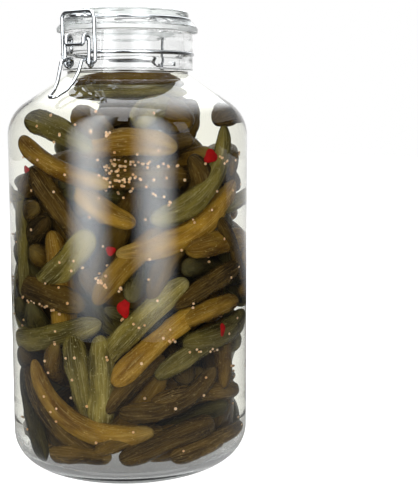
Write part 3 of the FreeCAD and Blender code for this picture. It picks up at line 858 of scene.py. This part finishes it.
def settle(move):
    """Moves and turns each gherkin as the pushes on its balls ask."""
    pushes = move.reshape(gherkin_count, BALLS, 3)
    active = np.maximum((np.abs(pushes).sum(2) > 1e-6).sum(1), 1)[:, None]
    shift = np.clip(pushes.sum(1) / active * SHIFT_SHARE, -LONGEST_SHIFT, LONGEST_SHIFT)
    centres[...] = np.round(centres + shift, 5)
    arm = (turns[:, None] * rest[:, :, None, :]).sum(-1)
    spin = np.cross(arm, pushes).sum(1) / (arm ** 2).sum((1, 2))[:, None] * TURN_SHARE
    angle = np.sqrt((spin ** 2).sum(1))
    spin *= np.minimum(1, LARGEST_TURN / np.maximum(angle, 1e-9))[:, None]
    angle = np.sqrt((spin ** 2).sum(1)) + 1e-12
    pivot = spin / angle[:, None]
    cosine = np.cos(angle)[:, None]
    sine = np.sin(angle)[:, None]
    for column in range(3):
        way = turns[:, :, column]
        kept = pivot * (pivot * way).sum(1)[:, None] * (1 - cosine)
        turns[:, :, column] = way * cosine + np.cross(pivot, way) * sine + kept
    turns[...] = np.round(turns, 7)


STEPS = 220
LOOK_ROUND_EVERY = 8
for number in range(STEPS):
    balls = (centres[:, None] + (turns[:, None] * rest[:, :, None, :]).sum(-1)).reshape(-1, 3)
    if number % LOOK_ROUND_EVERY == 0:
        first, second = near_pairs(balls)
    move, overlap = pushes_of_touch(balls, first, second)
    add_pushes_of_glass(balls, move)
    add_pushes_of_bounds(balls, move)
    settle(move)
print("overlap where balls touch:", round(float(overlap[overlap > 0].mean()), 2), "mm on average")

# %% [markdown]
# ## The shape of a gherkin
#
# The balls were only for packing. Each gherkin could now be sculpted, but there are too many, and no two
# are alike, so a formula with a few random numbers shapes them. Where one lies against the jar its skin is
# pressed in, and nothing of it may pass the glass. So the outline of the brine is walked in short steps,
# and a point of the skin that comes near it is eased inwards: the nearer it was, the more it gives way.

# %% The wall in short steps
section = np.concatenate([[[0.0, outline[0, 1]]], outline]) / MM
walked = np.concatenate([[0], np.cumsum(np.hypot(*np.diff(section, axis=0).T))])
stops = np.arange(0, walked[-1], 0.5)
wall_line = np.stack([np.interp(stops, walked, section[:, 0]), np.interp(stops, walked, section[:, 1])], 1)
wall_step = np.gradient(wall_line, axis=0)
wall_out = np.stack([wall_step[:, 1], -wall_step[:, 0]], 1)
wall_out /= np.linalg.norm(wall_out, axis=1)[:, None]
print(len(wall_line), "steps along the wall")

# %% Skin pressed in by the glass
CLEARANCE = 0.2
SOFT = 1.2
skin_past_wall = []


def pressed_inside(points):
    """Points of a gherkin's skin, eased inwards where they would pass the glass."""
    spot = np.stack([np.hypot(points[:, 0], points[:, 1]), points[:, 2]], 1)
    nearest = ((spot[:, None] - wall_line[None]) ** 2).sum(2).argmin(1)
    way = wall_out[nearest]
    past = ((spot - wall_line[nearest]) * way).sum(1)
    inner = -(CLEARANCE + SOFT)
    eased = -CLEARANCE - SOFT * np.exp(-(np.maximum(past, inner) - inner) / SOFT)
    kept = np.where(past > inner, eased, past)
    moved = spot + way * (kept - past)[:, None]
    skin_past_wall.append(kept.max())
    scale = moved[:, 0] / np.maximum(spot[:, 0], 1e-6)
    return np.stack([points[:, 0] * scale, points[:, 1] * scale, moved[:, 1]], 1)


# %% [markdown]
# The skin is a tube of rings along the bent line, close together at the ends, which are blunt. It is never
# quite round: a gherkin has three soft lobes, swells and narrows a little, and has low warts. Warts are
# modelled, not painted, because their shadows show that they stand out.

# %% How thick the rings are
def plump(draw, along):
    """How wide the gherkin is along its length: blunt at the ends, a little uneven between."""
    blunt = draw.uniform(3.6, 6.5)
    closing = np.sqrt(np.clip(1 - np.abs(along) ** blunt, 0, 1))
    taper = 0.97 + draw.uniform(-0.13, 0.13) * along
    slow = 0.05 * np.sin(along * draw.uniform(2, 5) + draw.uniform(0, 6))
    quick = 0.025 * np.sin(along * draw.uniform(7, 11) + draw.uniform(0, 6))
    return closing, taper + slow + quick


def lobed(draw, along, round_angles):
    """Three lobes that turn slowly round the gherkin, and a slight flatness."""
    twist = along[:, None] * draw.uniform(-0.5, 0.5)
    three = 0.035 * np.cos(3 * (round_angles[None] + twist) + draw.uniform(0, 6))
    two = 0.03 * np.cos(2 * round_angles[None] + draw.uniform(0, 6))
    return 1 + three + two


def add_warts(draw, ring_radii, along, round_angles, closing, length, thick, count):
    """Raises low warts, none of them on the very ends."""
    spots = np.stack([draw.uniform(-0.92, 0.92, count), draw.uniform(0, 2 * math.pi, count)], 1)
    for spot_along, spot_round in spots:
        far_along = (along[:, None] - spot_along) * length / 2
        turned = np.mod(round_angles[None] - spot_round + math.pi, 2 * math.pi) - math.pi
        far_round = turned * thick / 2
        width = draw.uniform(1.3, 2.4)
        height = draw.uniform(0.2, 0.55)
        hill = np.exp(-(far_along ** 2 + far_round ** 2) / width ** 2)
        ring_radii += height * hill * (closing[:, None] > 0.2)


# %% Faces between rings
def tube_faces(ring_count, around):
    """Four-sided faces between rings of points that follow each other."""
    ring, place = np.meshgrid(np.arange(ring_count), np.arange(around), indexing="ij")
    beside = (place + 1) % around
    low = ring * around
    high = (ring + 1) * around
    faces = np.stack([low + place, low + beside, high + beside, high + place], -1)
    return faces.reshape(-1, 4)[:, ::-1]


print("faces of a fine gherkin:", len(tube_faces(56, 36)))

# %% [markdown]
# Three values are stored on the skin for the material. The first is a place on the skin that doesn't bend
# with the gherkin, so that streaks follow it. The second runs from -1 at one end to 1 at the other. The
# third is a tone, so that neighbours differ, and it also carries painted shade: gherkins deep in the jar or
# behind those in front are painted darker, because little light gets there.

# %% Tone and painted shade of a gherkin
DEEP = 52
FRONT_WAY = np.array([math.sin(0.7), -math.cos(0.7), 0])


def tone_and_painted_shade_of(draw, index):
    """Painted lightness: 0 to 1, less deep down or behind those in front as painted shade, more if pale."""
    if pale[index]:
        return 1.2
    deep = np.hypot(centres[index, 0], centres[index, 1]) < DEEP
    behind_front = not by_hand[index] and centres[index] @ FRONT_WAY > 0
    # Gherkins deep in the jar or behind the front ones get a darker tone: this is painted shade.
    return draw.uniform(-0.8, -0.3) if deep or behind_front else draw.random()


print(int((np.hypot(centres[:, 0], centres[:, 1]) < DEEP).sum()), "gherkins lie deep in the jar")

# %% The skin of one gherkin
MOST_WARTS = 26
FINELY_MESHED = 30


def gherkin_skin(index, ring_count, around):
    """The points of one gherkin, its faces, and the three values for each point."""
    draw = np.random.default_rng(1000 + index)
    thick = thicks[index]
    ball_line, radius, half = bent_line(inner_chord(chords[index], thick), bows[index], BALLS)
    length = 2 * radius * half + thick * 0.55
    even = np.linspace(-1, 1, ring_count + 1)
    along = 0.65 * -np.cos(np.linspace(0.0, math.pi, ring_count + 1)) + 0.35 * even
    angle = along * length / 2 / radius
    middles = np.stack([radius * np.sin(angle), radius * (np.cos(angle) - math.cos(half)), 0 * angle], 1)
    middles -= ball_line.mean(0)
    in_bend = np.stack([np.sin(angle), np.cos(angle), 0 * angle], 1)
    closing, uneven = plump(draw, along)
    round_angles = np.linspace(0, 2 * math.pi, around, endpoint=False)
    ring_radii = thick / 2 * (closing * uneven)[:, None] * lobed(draw, along, round_angles)
    warts = MOST_WARTS if around > FINELY_MESHED else 0
    add_warts(draw, ring_radii, along, round_angles, closing, length, thick, warts)
    cosine, sine = np.cos(round_angles), np.sin(round_angles)
    way_out = cosine[None, :, None] * in_bend[:, None] + sine[None, :, None] * np.array([0, 0, 1.0])
    local = middles[:, None] + ring_radii[:, :, None] * way_out
    points = centres[index] + (turns[index][None, None] * local[:, :, None, :]).sum(-1)
    shape = ring_radii.shape
    across = [np.broadcast_to(part * thick / 2, shape) for part in (cosine, sine)]
    lengthways = np.broadcast_to((along * length / 2)[:, None], shape)
    skin = np.stack([*across, lengthways], -1).reshape(-1, 3) + draw.uniform(-500, 500, 3)
    ends = np.broadcast_to(along[:, None], shape).ravel()
    tone = np.full(ring_radii.size, tone_and_painted_shade_of(draw, index))
    return pressed_inside(points.reshape(-1, 3)), tube_faces(ring_count, around), skin, ends, tone


# %% [markdown]
# ## The skin's look
#
# Pickling turns gherkins from green to olive, golden or brown, in patches. Pale streaks run along them, the
# end that bore the flower is lighter, and brine leaves the skin glossy. The pale streaks and specks are also
# partly painted highlights, for the gleam of the wet skin. A painted picture would repeat on every gherkin,
# so all of it is noise in the skin's own places, stretched along the gherkin for the streaks. Three shades
# of a kind are mixed by it, and one more noise is a bump for the fine wrinkles.

# %% Material of a gherkin
SHADES = {
    GREEN: [(58, 50, 14), (114, 102, 44), (178, 168, 116)],
    GOLDEN: [(88, 58, 6), (150, 114, 34), (200, 174, 98)],
    BROWN: [(40, 26, 2), (86, 64, 18), (154, 130, 78)],
}


def gherkin_look(name, shades):
    """Three shades, dark, middle and light, mixed in patches, and in streaks and specks that are partly
    painted highlights.
    """
    add, finish = new_material(name)
    skin = add("Attribute", {"attribute_name": "skin"}).outputs["Vector"]
    tone = add("Attribute", {"attribute_name": "tone"}).outputs["Fac"]
    ends = add("Attribute", {"attribute_name": "ends"}).outputs["Fac"]

    def noise(scale, detail=2.0):
        stretched = add("Mapping", Vector=skin, Scale=scale)
        return add("TexNoise", Vector=stretched, Scale=1.0, Detail=detail, Roughness=0.6)

    def share(value, start, end, last=1.0):
        return add("MapRange", Value=value, From_Min=start, From_Max=end, To_Min=0.0, To_Max=last)

    dark, middle, light = (tint(*shade) for shade in shades)
    colour = add("MixRGB", i0=share(noise((0.1, 0.1, 0.03)), 0.35, 0.65), i1=dark, i2=middle)
    # Pale streaks and specks: partly the skin's own streaks, partly painted highlights of the wet skin.
    colour = add("MixRGB", i0=share(noise((1.3, 1.3, 0.07), 5.0), 0.5, 0.75, 0.45), i1=colour, i2=light)
    colour = add("MixRGB", i0=share(noise((0.7, 0.7, 0.5)), 0.62, 0.72, 0.5), i1=colour, i2=light)
    colour = add("MixRGB", i0=share(ends, 0.72, 1.0, 0.3), i1=colour, i2=light)
    # The tone sets how light the skin is painted: a random tone, and painted shade for gherkins deep in the
    # jar or behind the front ones.
    bright = add("MapRange", Value=tone, From_Min=-1.0, From_Max=1.3, To_Min=0.1, To_Max=1.6)
    toned = add("HueSaturation", Color=colour, Value=bright, Saturation=1.0)
    wrinkles = add("Bump", Strength=1.0, Distance=0.0016, Height=noise((0.55, 0.55, 0.3), 4.0))
    return finish(add("BsdfPrincipled", Base_Color=toned, Roughness=0.24, IOR=1.3, Normal=wrinkles))


# %% [markdown]
# One object for each gherkin would be a long list, so each kind is one mesh that holds all its gherkins.
# Those in front get many faces, those deep in the jar few, because nobody sees their warts.

# %% Gherkins, one mesh for each kind
KINDS = {GREEN: "gherkins_green", GOLDEN: "gherkins_golden", BROWN: "gherkins_brown"}
FINE = (56, 36)
MEDIUM = (40, 26)
COARSE = (28, 20)
NEAR_WALL = 40


def rings_for(index):
    """How many rings a gherkin gets, and how many points a ring."""
    if by_hand[index]:
        return FINE
    return MEDIUM if np.hypot(centres[index, 0], centres[index, 1]) > NEAR_WALL else COARSE


all_points, all_faces = [], []
points_so_far = 0
for kind, name in KINDS.items():
    skins, start = [], 0
    for index in np.nonzero(kinds == kind)[0]:
        points, faces, *values = gherkin_skin(index, *rings_for(index))
        skins.append((points, faces + start, *values))
        start += len(points)
    points, faces, skin, ends, tone = (np.concatenate(part) for part in zip(*skins))
    points = points * MM
    values = [("skin", "FLOAT_VECTOR", skin), ("ends", "FLOAT", ends), ("tone", "FLOAT", tone)]
    piece = mesh_piece(name, points, faces, gherkin_look(name.replace("_", " "), SHADES[kind]), values)
    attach(piece, "jar")
    all_points.append(points)
    all_faces.append(faces + points_so_far)
    points_so_far += len(points)
gherkin_tree = BVHTree.FromPolygons(np.concatenate(all_points).tolist(), np.concatenate(all_faces).tolist())
print("nearest to the glass:", round(-float(max(skin_past_wall)), 2), "mm")

# %% [markdown]
# ## Mustard seeds and red pepper
#
# Seeds and pepper have sunk onto the gherkins and show where they lie between them and the glass. Their
# places could be typed in, but then some would float and some be buried. So a ray goes from the wall
# straight inwards, and the first skin that it meets is where a seed rests. The search uses a tree of all
# the gherkins' faces, which makes it quick.

# %% A place to rest
SEARCH_DEPTH = 0.03


def resting_place(bearing, height, clearance, shallow=30):
    """Where something small lies, and the way its support faces. None if the gherkins are too deep."""
    angle = math.radians(bearing)
    way_out = Vector((math.sin(angle), -math.cos(angle), 0))
    start = way_out * (inside_r - 0.3) * MM + Vector((0, 0, height * MM))
    hit, normal, _, far = gherkin_tree.ray_cast(start, -way_out, SEARCH_DEPTH)
    if hit is None:
        return None
    if normal.dot(way_out) < 0:
        normal = -normal
    if far > shallow * MM:
        hit = start - way_out * shallow * MM
        normal = way_out
    spot = hit + normal * clearance
    limit = (inside_r - 0.4) * MM - clearance
    reach = math.hypot(spot.x, spot.y)
    if reach > limit:
        spot = Vector((spot.x / reach * limit, spot.y / reach * limit, spot.z))
    return spot, normal


# %% [markdown]
# Seeds collect in the gaps, so about a third of them lie in strings along the gherkins and in a few
# clusters. The others are strewn over the whole jar.

# %% Where the seeds are
# bearing and height of both ends of a string, and how many seeds are in it
STRINGS = [
    (1, 229, 22, 214, 26),
    (28, 218, 70, 217, 26),
    (-28, 122, -2, 121, 14),
    (23, 142, 37, 136, 16),
    (84, 227, 94, 216, 10),
    (12, 243, 30, 236, 6),
    (55, 198, 62, 189, 5),
    (36, 118, 66, 96, 8),
    (70, 92, 90, 88, 6),
]
# bearing and height of a cluster's middle, its spread in both, and how many seeds are in it
CLUSTERS = [(35, 207, 5, 6, 44), (31, 215, 5, 3, 14), (10, 150, 4, 5, 5)]
STREWN = 330
places = []
for bearing_1, height_1, bearing_2, height_2, in_string in STRINGS:
    for share in rng.random(in_string):
        bearing = bearing_1 + (bearing_2 - bearing_1) * share + rng.normal(0, 1.0)
        places.append((bearing, height_1 + (height_2 - height_1) * share + rng.normal(0, 1.2)))
for bearing, height, wide, high, in_cluster in CLUSTERS:
    places += [(bearing + rng.normal(0, wide), height + rng.normal(0, high)) for _ in range(in_cluster)]
places += [(rng.uniform(0, 360), rng.uniform(18, 255)) for _ in range(STREWN)]
print(len(places), "places for seeds")

# %% Mustard seeds
bpy.ops.mesh.primitive_ico_sphere_add(subdivisions=2, radius=1)
pattern = bpy.context.object
seed_points = np.array([vertex.co for vertex in pattern.data.vertices])
seed_faces = np.array([list(face.vertices) for face in pattern.data.polygons])
bpy.data.objects.remove(pattern)
points, faces, tones = [], [], []
for bearing, height in places:
    radius = rng.uniform(0.8, 1.05) * MM
    found = resting_place(bearing, height, radius * 0.8)
    if found is None:
        continue
    faces.append(seed_faces + len(points) * len(seed_points))
    points.append(seed_points * (radius * rng.uniform(0.9, 1.08, 3)) + np.array(found[0]))
    tones.append(np.full(len(seed_points), rng.random()))
print(len(points), "mustard seeds")

# %% Material of the seeds
add, finish = new_material("mustard seed")
tone = add("Attribute", {"attribute_name": "tone"}).outputs["Fac"]
colour = add("MixRGB", i0=tone, i1=tint(244, 210, 168), i2=tint(216, 166, 106))
seed_look = finish(add("BsdfPrincipled", Base_Color=colour, Roughness=0.4, IOR=1.15))
values = [("tone", "FLOAT", np.concatenate(tones))]
seeds = mesh_piece("mustard_seeds", np.concatenate(points), np.concatenate(faces), seed_look, values)
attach(seeds, "jar")

# %% [markdown]
# The pepper is cut in small bits that curl like the wall of the fruit. A flattened ball would be easier, but
# it shows no curl and no cut rim. So a bit is a square sheet, drawn to a rounded outline, bent back at its
# sides and given two skins, which come close together at the rim.

# %% The form of a bit of pepper
GRID = 12
HALF_THICK = 0.45
across, down = np.meshgrid(np.linspace(-1, 1, GRID), np.linspace(-1, 1, GRID), indexing="ij")
row, column = np.meshgrid(np.arange(GRID - 1), np.arange(GRID - 1), indexing="ij")
corner = row * GRID + column
chip_faces = np.stack([corner, corner + GRID, corner + GRID + 1, corner + 1], -1).reshape(-1, 4)


def chip_skins(wide, tall):
    """Both skins of one bit, as places along its width, its height and its thickness, in mm."""
    x = across * np.sqrt(1 - down ** 2 / 2)
    y = down * np.sqrt(1 - across ** 2 / 2)
    ragged = 1 + 0.15 * np.sin(3 * np.arctan2(y, x) + rng.uniform(0, 6))
    x, y = x * ragged, y * ragged
    curl = -0.12 * (x ** 2 * wide / 2 + y ** 2 * tall / 4) + 0.15 * np.sin(2 * x + 3 * y)
    closing = np.sqrt(np.clip(1.02 - np.maximum(np.abs(across), np.abs(down)) ** 4, 0, 1))
    for side in (HALF_THICK, -HALF_THICK):
        places = (x * wide / 2, y * tall / 2, curl + side * closing)
        yield side > 0, np.stack([place.ravel() for place in places], 1)


print("a bit of pepper has", 2 * len(chip_faces), "faces")

# %% Red pepper
# bearing, height, width and height of each bit
CHIPS = [
    (83, 222, 12, 9),
    (-18, 213, 6, 5),
    (31, 162, 6, 6),
    (37, 124, 8, 12),
    (92, 102, 6, 9),
    (150, 180, 9, 8),
    (200, 90, 10, 8),
    (245, 150, 9, 10),
    (290, 210, 8, 9),
    (310, 60, 10, 8),
    (180, 235, 9, 8),
    (222, 40, 8, 8),
]
points, faces = [], []
for bearing, height, wide, tall in CHIPS:
    found = resting_place(bearing, height, 0.9 * MM, shallow=5)
    if found is None:
        continue
    spot, facing = found
    sideways = facing.cross(Vector((0, 0, 1))).normalized()
    downwards = facing.cross(sideways).normalized()
    for outer, local in chip_skins(wide, tall):
        skin = [spot + (sideways * x + downwards * y + facing * z) * MM for x, y, z in local]
        faces.append((chip_faces if outer else chip_faces[:, ::-1]) + len(points) * GRID ** 2)
        points.append(np.array(skin))
print(len(points) // 2, "bits of pepper")

# %% Material of the pepper
add, finish = new_material("red pepper")
blotches = add("TexNoise", Vector=add("TexCoord").outputs["Object"], Scale=300.0, Detail=2)
colour = add("MixRGB", i0=blotches, i1=tint(118, 5, 5), i2=tint(182, 22, 18))
pepper_look = finish(add("BsdfPrincipled", Base_Color=colour, Roughness=0.35, IOR=1.15))
pepper = mesh_piece("red_pepper_bits", np.concatenate(points), np.concatenate(faces), pepper_look)
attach(pepper, "jar")

# %% [markdown]
# ## How far light is followed
#
# A ray that enters the jar crosses two walls, the brine and perhaps the lid, and bends at each. If it were
# dropped too soon, the glass would have black patches, so it may pass many clear surfaces. The Standard view
# shows colours as they are, where others would give them a film look.

# %% Depth of rays
scene.view_settings.view_transform = "Standard"
scene.cycles.max_bounces = 16
scene.cycles.transmission_bounces = 14
scene.cycles.glossy_bounces = 6
scene.cycles.diffuse_bounces = 3
scene.cycles.transparent_max_bounces = 24
print("a ray may bend", scene.cycles.transmission_bounces, "times")
